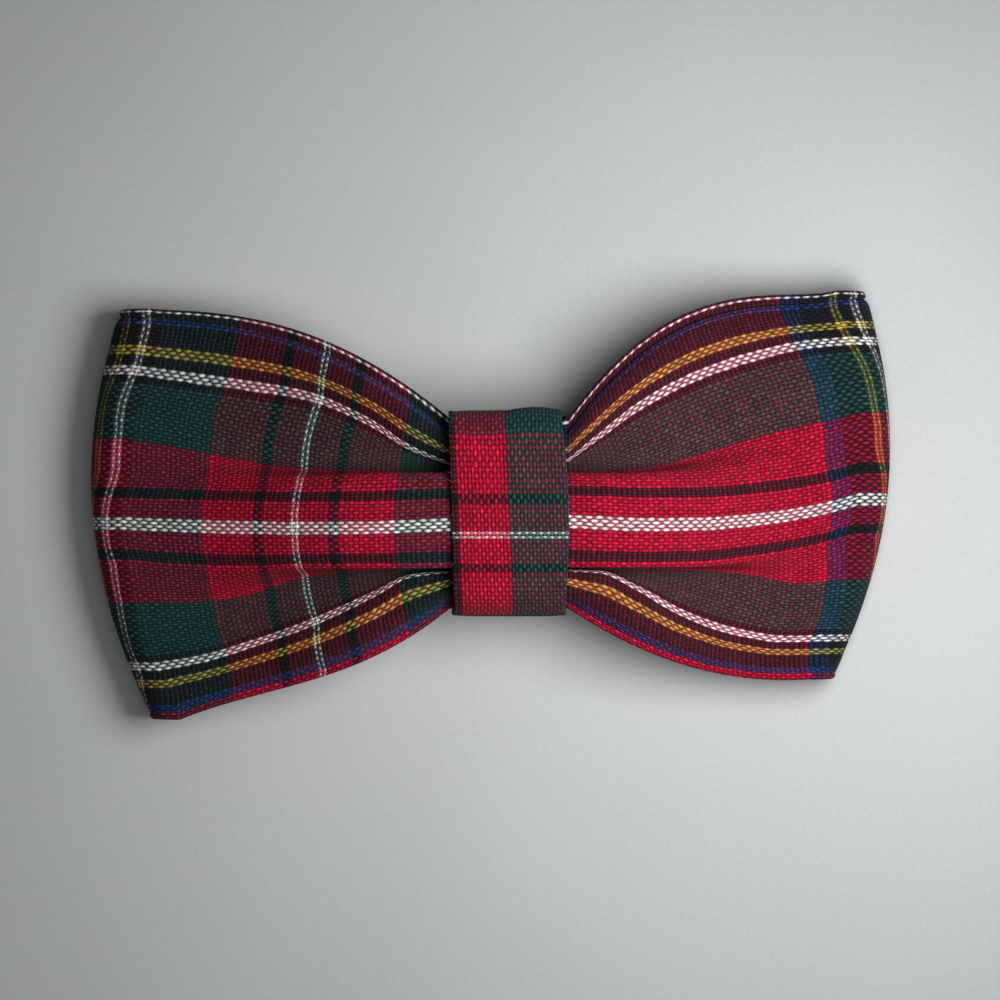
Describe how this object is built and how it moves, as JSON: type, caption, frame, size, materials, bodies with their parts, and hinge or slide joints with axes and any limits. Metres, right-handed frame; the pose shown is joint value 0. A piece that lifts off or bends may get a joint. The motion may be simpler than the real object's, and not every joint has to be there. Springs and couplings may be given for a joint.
{
  "type": "bow tie",
  "caption": "Pre-tied tartan cotton bow tie: a flattened cloth loop pinched by a centre band, with a sprung toothed clip behind it that grips a shirt collar.",
  "frame": {"origin": "middle of the footprint, on the surface that the bow tie lies on with its face up", "axes": "+X along the bow's length, +Y to its top edge, +Z out of its face, away from the wearer"},
  "size_m": [0.1206, 0.064, 0.022],
  "materials": {
    "tartan": "plain-weave cotton in a red, green, blue, yellow, white and black check",
    "band_tartan": "the same plain-weave cotton, turned a quarter",
    "interfacing": "white non-woven stiffening",
    "thread": "dark red sewing thread",
    "nickel_plate": "nickel-plated sheet steel, lightly brushed",
    "spring_steel": "drawn spring wire"
  },
  "bodies": {
    "bow": {"bow_cloth": "tartan", "bow_interfacing": "interfacing", "tube_seam_thread": "thread", "waist_thread": "thread", "center_band": "band_tartan", "band_interfacing": "interfacing", "band_closing_thread": "thread", "clip_base": "nickel_plate", "clip_pin": "nickel_plate", "clip_spring": "spring_steel", "clip_tack_thread_upper": "thread", "clip_tack_thread_lower": "thread"},
    "jaw": {"clip_jaw": "nickel_plate"}
  },
  "joints": [
    {"name": "jaw_hinge", "type": "hinge", "parent": "bow", "child": "jaw", "pos_m": [0.01471, -0.00123, 0.0054], "axis": [0, -1, 0], "range_deg": [0, 35], "stiffness_Nm_per_rad": 0.05, "springref_deg": -40.11, "deforming": ["clip_spring"]}
  ]
}
